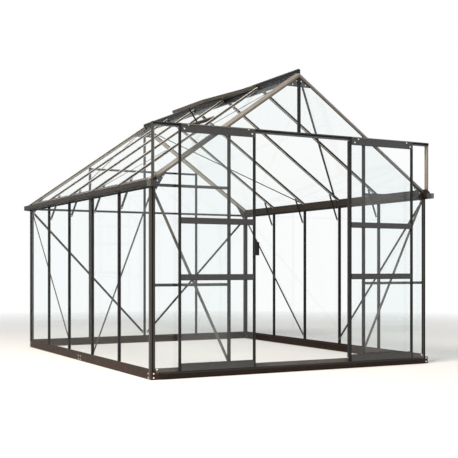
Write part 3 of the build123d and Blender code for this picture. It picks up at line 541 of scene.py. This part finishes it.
def bar_screws():
    """Screws in the flutes of the rafters, close to the ridge and over the eave beams."""
    flute = 2 * MM
    near_ridge = 36 * MM
    over_beam = WALL - 14 * MM
    spots = []
    for y in BAR_LINES:
        for x in (near_ridge, over_beam):
            floor = APEX - x * math.tan(PITCH) - flute / math.cos(PITCH)
            spots.append((Vector((-x, y, floor)), LEFT_SLOPE))
    return both_sides(spots)


def strip_ends(start, end, face, inset=11 * MM):
    """A bolt near each end of a flat strip."""
    start = Vector(start)
    end = Vector(end)
    way = (end - start).normalized() * inset
    return [(start + way, face), (end - way, face)]


def roof_point(x, y, depth):
    """A point under the left slope, this deep below its surface."""
    return (-x + depth * math.sin(PITCH), y, APEX - x * math.tan(PITCH) - depth * math.cos(PITCH))


def brace_bolts():
    """Bolts at the ends of the flat braces and of the knee stays."""
    top = BEAM_BOTTOM - 22 * MM
    foot = 108 * MM
    inside = BAR_D + 2 * MM            # inner face of a strip, from the outer face of its wall
    wall = WALL - inside
    post = 1234 * MM                   # where the gables' strips meet the corner posts
    near_post = FRONT + 30 * MM
    near_king_post = 22 * MM
    front = strip_ends((-post, FRONT + inside, top), (-BAY, FRONT + inside, foot), OUT_REAR)
    rear = strip_ends((-post, REAR - inside, top), (-near_king_post, REAR - inside, foot), OUT_FRONT)
    side = strip_ends((-wall, near_post, top), (-wall, BAR_LINES[1], foot), OUT_RIGHT)

    near_ridge = 38 * MM
    near_eave = 1216 * MM
    near_gable = FRONT + 34 * MM
    roof = strip_ends(roof_point(near_ridge, near_gable, inside),
                      roof_point(near_eave, BAR_LINES[1], inside), -LEFT_SLOPE)

    beside_bar = 10.3 * MM
    reach = 120 * MM                   # how far a stay reaches in from the wall and down from the eave
    off_wall = 30 * MM
    stays = []
    for line in BAR_LINES:
        y = line + beside_bar
        x = WALL - reach
        low = (-WALL + off_wall, y, BEAM_BOTTOM - reach)
        high = (-x, y, APEX - x * math.tan(PITCH) - BAR_D / math.cos(PITCH))
        stays += strip_ends(low, high, OUT_REAR, 10 * MM)
    return both_sides(front + rear + both_gables(side + roof) + stays)


def fixings(steel):
    """Every visible screw and bolt."""
    screw = button_screw()
    nut = bolt_end()
    gussets = gusset_spots(GUSSET_FRONT, OUT_FRONT)
    gussets += gusset_spots(GUSSET_REAR, OUT_REAR)
    backs = gusset_spots(GUSSET_FRONT + GUSSET_T, OUT_REAR)
    backs += gusset_spots(GUSSET_REAR - GUSSET_T, OUT_FRONT)
    lay(screw, "gusset_screws", "root", steel, gussets)
    lay(nut, "gusset_nuts", "root", steel, backs)
    lay(screw, "base_screws", "root", steel, base_screws())
    lay(screw, "rafter_screws", "root", steel, bar_screws())
    lay(nut, "brace_bolts", "root", steel, brace_bolts())
    left = [(-1017.4, 1823.1), (-450.8, 1822.5), (-985.2, 1855.0), (-481.2, 1855.5)]
    right = [(498.4, 1819.6), (532.9, 1847.6), (1022.5, 1847.3), (1060.4, 1818)]
    for side, spots in (("left", left), ("right", right)):
        places = [(Vector((x * MM, PLATE_FRONT, z * MM)), OUT_FRONT) for x, z in spots]
        lay(screw, side + "_hanger_screws", side + "_door", steel, places)
    put_away(screw, nut)


# Seals

def glazing_seals(node, across, body, wide_mm, rubber, bare=None):
    """Rubber lip on both faces of every pane of a glass node, just outside the metal that holds it.

    Edges at places that pass the test for bare ones have no lip.
    """
    lip = 1.6 * MM
    seal = bpy.data.objects.new(node + "_seals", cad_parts[node].data.copy())
    bpy.context.scene.collection.objects.link(seal)
    edit(seal)
    bpy.ops.mesh.remove_doubles(threshold=0.02 * MM)
    bpy.ops.mesh.dissolve_limited(angle_limit=math.radians(1))
    bpy.ops.mesh.normals_make_consistent(inside=False)
    pick(lambda centre, normal: abs(normal.dot(across)) > 0.9)
    bpy.ops.mesh.inset(thickness=wide_mm * MM, use_individual=True)
    bpy.ops.mesh.delete(type="FACE")
    pick(lambda centre, normal: abs(normal.dot(across)) < 0.5 or (bare and bare(centre)))
    bpy.ops.mesh.delete(type="FACE")
    bpy.ops.object.mode_set(mode="OBJECT")
    wall = seal.modifiers.new("thickness", "SOLIDIFY")
    wall.thickness = lip
    wall.offset = 1.0
    bpy.ops.object.modifier_apply(modifier="thickness")
    finish(seal, node + "_seals", body, rubber)


def seals(rubber):
    """The seals of walls, gables, roof, roof window and doors, each a little wider than its rebate."""
    fixed = 8.2                        # widths in millimetres, from the edge of the glass
    window = 9.2
    leaf = 7.6
    off_wall = 8 * MM
    off_ridge = 25 * MM
    open_slope = Vector((-math.sin(PITCH - WINDOW_OPEN), 0, math.cos(PITCH - WINDOW_OPEN)))

    def free_edge(centre):
        return abs(centre.x) > WALL - off_wall or abs(centre.x) < off_ridge

    for node in ("left_wall_glass", "right_wall_glass"):
        glazing_seals(node, OUT_LEFT, "root", fixed, rubber)
    for node in ("front_glass", "rear_glass"):
        glazing_seals(node, OUT_FRONT, "root", fixed, rubber)
    glazing_seals("left_roof_glass", LEFT_SLOPE, "root", fixed, rubber, free_edge)
    glazing_seals("right_roof_glass", RIGHT_SLOPE, "root", fixed, rubber, free_edge)
    glazing_seals("roof_window_glass", open_slope, "root", window, rubber)
    for side in ("left", "right"):
        glazing_seals(side + "_door_glass", OUT_FRONT, side + "_door", leaf, rubber)


# Small metalwork

def hinge_knuckles(steel):
    """Three rolled knuckles with their pin heads along the roof window's hinge."""
    radius = 5.6 * MM
    long = 64 * MM
    pin_edge = 2.2 * MM
    off_ridge = 22 * MM
    above_ridge = 6 * MM
    bpy.ops.mesh.primitive_cylinder_add(vertices=20, radius=radius, depth=long)
    knuckle = bpy.context.object
    edit(knuckle)
    for end in (1, -1):
        pick(lambda centre, normal: normal.z * end > 0.9)
        bpy.ops.mesh.inset(thickness=pin_edge)
        rise(end * 1.6)
        rise(end * 0.8, 0.7)
    soften(0.4)
    low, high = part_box("roof_window_frame")
    length = high.y - low.y
    spots = [(Vector((-off_ridge, low.y + length * share, APEX + above_ridge)), OUT_REAR)
             for share in (0.16, 0.5, 0.84)]
    lay(knuckle, "roof_window_knuckles", "root", steel, spots)
    put_away(knuckle)


def window_knob(coat):
    """Turned knob on the front side bar of the roof window, where its catch is held."""
    radius = 3.4 * MM
    neck = 3 * MM
    bpy.ops.mesh.primitive_cylinder_add(vertices=20, radius=radius, depth=neck,
                                        location=(0, 0, neck / 2))
    knob = bpy.context.object
    edit(knob)
    pick(lambda centre, normal: normal.z > 0.9)
    rise(0.0, 2.0)
    rise(1.2, 1.1)
    rise(3.5)
    rise(1.2, 0.85)
    rise(0.4, 0.6)
    soften(0.3)
    bar_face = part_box("roof_window_frame")[0].y
    spot = Vector((-341 * MM, bar_face, 2212 * MM))
    lay(knob, "roof_window_knob", "root", coat, [(spot, OUT_FRONT)])
    put_away(knob)


def rolled_edges(coat):
    """Rounded bead along the top edge of each hanger plate."""
    deep = 5 * MM
    tall = 7.8 * MM
    round_off = 2.4 * MM
    middle = TRACK_TOP - 4 * MM
    for side in ("left", "right"):
        low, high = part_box(side + "_door_hanger")
        length = high.x - low.x
        bpy.ops.mesh.primitive_cube_add(size=1, location=((low.x + high.x) / 2, PLATE_FRONT, middle),
                                        scale=(length, deep, tall))
        bead = bpy.context.object
        bpy.ops.object.transform_apply(location=True, rotation=True, scale=True)
        edit(bead)
        bpy.ops.mesh.select_mode(type="EDGE")
        bpy.ops.mesh.select_all(action="DESELECT")
        mesh = bmesh.from_edit_mesh(bead.data)
        for edge in mesh.edges:
            a, b = (vert.co for vert in edge.verts)
            edge.select_set(abs(a.x - b.x) > length / 2 and a.y < PLATE_FRONT and a.z > middle)
        bmesh.update_edit_mesh(bead.data)
        bpy.ops.mesh.bevel(offset=round_off, segments=3, affect="EDGES")
        soften(0.4)
        finish(bead, side + "_hanger_bead", side + "_door", coat)


def draught_fin(coat):
    """Folded strip behind the right leaf's inner stile that closes the gap towards the wall."""
    thick = 3 * MM
    fold = 4 * MM
    fold_depth = 0.9 * MM
    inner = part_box("right_door_stiles")[0].x
    back = LEAF_FRONT + LEAF_T
    deep = FRONT - CLEAR - back
    foot = SILL_TOP + CLEAR
    head = TRACK_TOP - TRACK_H - CLEAR
    bpy.ops.mesh.primitive_cube_add(size=1, scale=(thick, deep, head - foot),
                                    location=(inner + thick / 2, back + deep / 2, (foot + head) / 2))
    fin = bpy.context.object
    bpy.ops.object.transform_apply(location=True, rotation=True, scale=True)
    edit(fin)
    pick(lambda centre, normal: normal.x < -0.9)
    bpy.ops.mesh.inset(thickness=fold)
    bpy.ops.mesh.extrude_region_move(TRANSFORM_OT_translate={"value": (fold_depth, 0, 0)})
    soften(0.4)
    finish(fin, "right_door_draught_fin", "right_door", coat)


def track_ends(coat):
    """Plate that closes each end of the door track, its face set back inside a raised edge."""
    thick = 2 * MM
    edge = 2.5 * MM
    middle = Vector((0, FRONT - TRACK_D / 2, TRACK_TOP - TRACK_H / 2))
    bpy.ops.mesh.primitive_cube_add(size=1, scale=(TRACK_D, TRACK_H, thick), location=(0, 0, thick / 2))
    plate = bpy.context.object
    bpy.ops.object.transform_apply(location=True, rotation=True, scale=True)
    edit(plate)
    pick(lambda centre, normal: normal.z > 0.9)
    bpy.ops.mesh.inset(thickness=edge)
    rise(-0.8)
    soften(0.4)
    ends = [(middle + Vector((side * TRACK_END, 0, 0)), (side, 0, 0)) for side in (-1, 1)]
    lay(plate, "track_end_plates", "root", coat, ends)
    put_away(plate)


# Stage, light and camera

def studio():
    """Pale floor that fades into a white surround, with a soft key light, a low sun and a weak fill."""
    solid = 3.5                        # metres from the middle at which the floor starts to fade
    gone = 9.0
    bpy.ops.mesh.primitive_plane_add(size=60)
    floor = bpy.context.object
    floor.name = "floor"
    material, tree = new_material("pale_floor")
    spot = add(tree, "ShaderNodeTexCoord").outputs["Object"]
    away = add(tree, "ShaderNodeVectorMath", {0: spot}, operation="LENGTH").outputs["Value"]
    fade = add(tree, "ShaderNodeMapRange", {"Value": away, "From Min": solid, "From Max": gone})
    matt = add(tree, "ShaderNodeBsdfDiffuse", {"Color": linear("#e9e7e3")})
    clear = add(tree, "ShaderNodeBsdfTransparent")
    faded = add(tree, "ShaderNodeMixShader", {0: fade, 1: matt, 2: clear})
    add(tree, "ShaderNodeOutputMaterial", {"Surface": faded})
    floor.data.materials.append(material)

    world = bpy.data.worlds.new("surround")
    world.use_nodes = True
    tree = world.node_tree
    tree.nodes.clear()
    ray = add(tree, "ShaderNodeLightPath").outputs
    through = add(tree, "ShaderNodeMath", {0: ray["Is Glossy Ray"], 1: ray["Is Transmission Ray"]},
                  operation="MAXIMUM")
    seen = add(tree, "ShaderNodeMath", {0: ray["Is Camera Ray"], 1: through}, operation="MAXIMUM")
    white = add(tree, "ShaderNodeBackground", {"Color": linear("#ffffff"), "Strength": 1.0})
    soft = add(tree, "ShaderNodeBackground", {"Color": linear("#dfe6ee"), "Strength": 0.5})
    both = add(tree, "ShaderNodeMixShader", {0: seen, 1: soft, 2: white})
    add(tree, "ShaderNodeOutputWorld", {"Surface": both})
    bpy.context.scene.world = world

    aim = Vector((0, 0, 1.0))
    lamps = {                          # place, size, watts and tint
        "key": ((-4.6, -3.6, 9.0), 4.0, 1100.0, "#fff7ee"),
        "low_sun": ((-9.0, -3.4, 4.6), 1.6, 300.0, "#fff4e8"),
        "fill": ((7.0, -4.0, 4.0), 6.0, 90.0, "#e6eefb"),
    }
    for name, (where, size, watts, tint) in lamps.items():
        light = bpy.data.lights.new(name, "AREA")
        light.size = size
        light.energy = watts
        light.color = linear(tint)[:3]
        lamp = bpy.data.objects.new(name, light)
        lamp.location = where
        lamp.rotation_euler = (aim - Vector(where)).to_track_quat("-Z", "Y").to_euler()
        bpy.context.scene.collection.objects.link(lamp)


def camera():
    """The photograph's own viewpoint: a level camera below eye height, off the front left corner."""
    frame_px = 458
    focal_px = 916.87
    horizon_px = 268.007
    turn = 27.8564
    view = bpy.data.cameras.new("camera")
    view.sensor_width = 36.0
    view.lens = focal_px * view.sensor_width / frame_px
    view.shift_y = (horizon_px - frame_px / 2) / frame_px
    holder = bpy.data.objects.new("camera", view)
    holder.location = (-3.8534, -7.67865, 0.8070)
    holder.rotation_euler = (math.radians(90), 0, math.radians(-turn))
    bpy.context.scene.collection.objects.link(holder)
    bpy.context.scene.camera = holder
    bpy.context.scene.view_settings.view_transform = "Standard"
    bpy.context.scene.cycles.transparent_max_bounces = 48


# Finishes, each with its body, chalk and dust colours; several carry painted light or shade

coat = powder_coat("black_powder_coat", "#1a1918", "#2c2a28")
panel_coat = powder_coat("door_panel_powder_coat", "#383737", "#454342", "#93897a",
                         dust=0.18, splash_top=140 * MM, rough=0.46, sheen=0.4)
ridge_coat = powder_coat("ridge_powder_coat", "#131415", "#212223", "#6d675e",
                         dust=0.2, rough=0.4, sheen=0.2)
# The base's body is tinted red-brown, painted bounce light from red paving, on a coat that is near black
base_coat = powder_coat("base_powder_coat", "#2a1f19", "#372a22", "#7d553f",
                        dust=0.22, splash_top=90 * MM, rough=0.52, sheen=0.12)
rafter_coat = bar_coat("glazing_bar_painted_highlight_coat")
# The right leaf's inner edge is painted black, painted shade of the groove beside the draught fin
leaf_coat = powder_coat("door_powder_coat", "#171514", "#262321", rough=0.44, sheen=0.25,
                        painted_band=("X", 450 * MM, 454 * MM), painted_band_hex="#050505")
# The edge bars are painted pale, a painted highlight on the black coat; the rear gable's are painted
# paler still, painted light
highlight_coat = powder_coat("edge_bar_painted_highlight_coat", "#5f584f", "#6f685d", "#a3977f",
                         dust=0.3, rough=0.38, sheen=0.6,
                         painted_band=("Y", 1500 * MM, 1600 * MM), painted_band_hex="#aaa090")
# The window's front side bar is painted paler than its other bars, a painted sunlit highlight
window_coat = powder_coat("window_powder_coat", "#3a352f", "#48423b", "#8f8677", dust=0.2,
                          painted_band=("Y", -916 * MM, -904 * MM), painted_band_hex="#4d4840")
# The groove in the corner posts is painted dark, a painted shadow
post_coat = powder_coat("post_powder_coat", "#312c27", "#3f3932",
                        dust=0.22, splash_top=60 * MM, sheen=0.4,
                        painted_band=("X", 1245 * MM, 1256 * MM), painted_band_hex="#0f0e0d")
# The foot of the gutters and the inner half of their end caps are painted dark too, as painted shadow
gutter_coat = powder_coat("gutter_powder_coat", "#29231c", "#352e25", rough=0.48, sheen=0.12,
                          painted_band=("Z", 1380 * MM, 1407 * MM), painted_band_hex="#0c0b0a")
cap_coat = powder_coat("end_cap_powder_coat", "#5f584f", "#6f685d", "#a3977f",
                       dust=0.3, rough=0.38, sheen=0.6,
                       painted_band=("X", 1200 * MM, 1284 * MM), painted_band_hex="#1f1b17")
# The door gable's braces are painted paler than the others, painted sunlight on their faces
brace_coat = powder_coat("brace_powder_coat", "#1a1918", "#2c2a28",
                         painted_band=("Y", -1560 * MM, -1500 * MM), painted_band_hex="#5b544c")
# The track's end posts are painted pale on the inside, painted sunlight on the black coat, and left
# black at their outer edge
upright_coat = powder_coat("track_upright_painted_sunlit_coat", "#8a8174", "#978e80", "#a3977f",
                           dust=0.2, sheen=0.4,
                           painted_band=("X", 1257 * MM, 1270 * MM), painted_band_hex="#131211")
# The shelf in front of the sill is painted black, painted shade of the slot under the leaves
sill_coat = powder_coat("sill_powder_coat", "#3d3a37", "#4b4743", "#97836c",
                        dust=0.4, rough=0.44, sheen=0.4,
                        painted_band=("Y", FRONT - 60 * MM, FRONT - 22.6 * MM), painted_band_hex="#0f0e0d")
glass = float_glass("clear_float_glass")
roller_nylon = nylon("black_nylon")
rubber = seal_rubber("epdm_seal")
steel = stainless("stainless_steel")

# Which finish a node has, by a part of its name; the first that fits counts
FINISHES = {
    "glass": glass, "rollers": roller_nylon, "base_": base_coat, "sills": base_coat,
    "threshold": sill_coat, "gable_rafters": highlight_coat, "rafters": rafter_coat,
    "ridge_beam": ridge_coat, "door_rails": panel_coat, "door_hanger": panel_coat,
    "door_track": panel_coat, "gable_gussets": panel_coat, "door_stiles": leaf_coat,
    "door_handle": leaf_coat, "side_wall_bars": leaf_coat, "roof_window_frame": window_coat,
    "roof_window_sill": window_coat, "track_uprights": upright_coat, "corner_posts": post_coat,
    "gutters": gutter_coat, "gutter_end_caps": cap_coat, "wall_braces": brace_coat,
}

deselect()
studio()
camera()
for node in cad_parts:
    paint(node, next((finish_of for word, finish_of in FINISHES.items() if word in node), coat))
fixings(steel)
seals(rubber)
hinge_knuckles(steel)
window_knob(window_coat)
# The hanger beads take the pale coat as a painted highlight along the plates' top edge
rolled_edges(highlight_coat)
draught_fin(coat)
track_ends(coat)
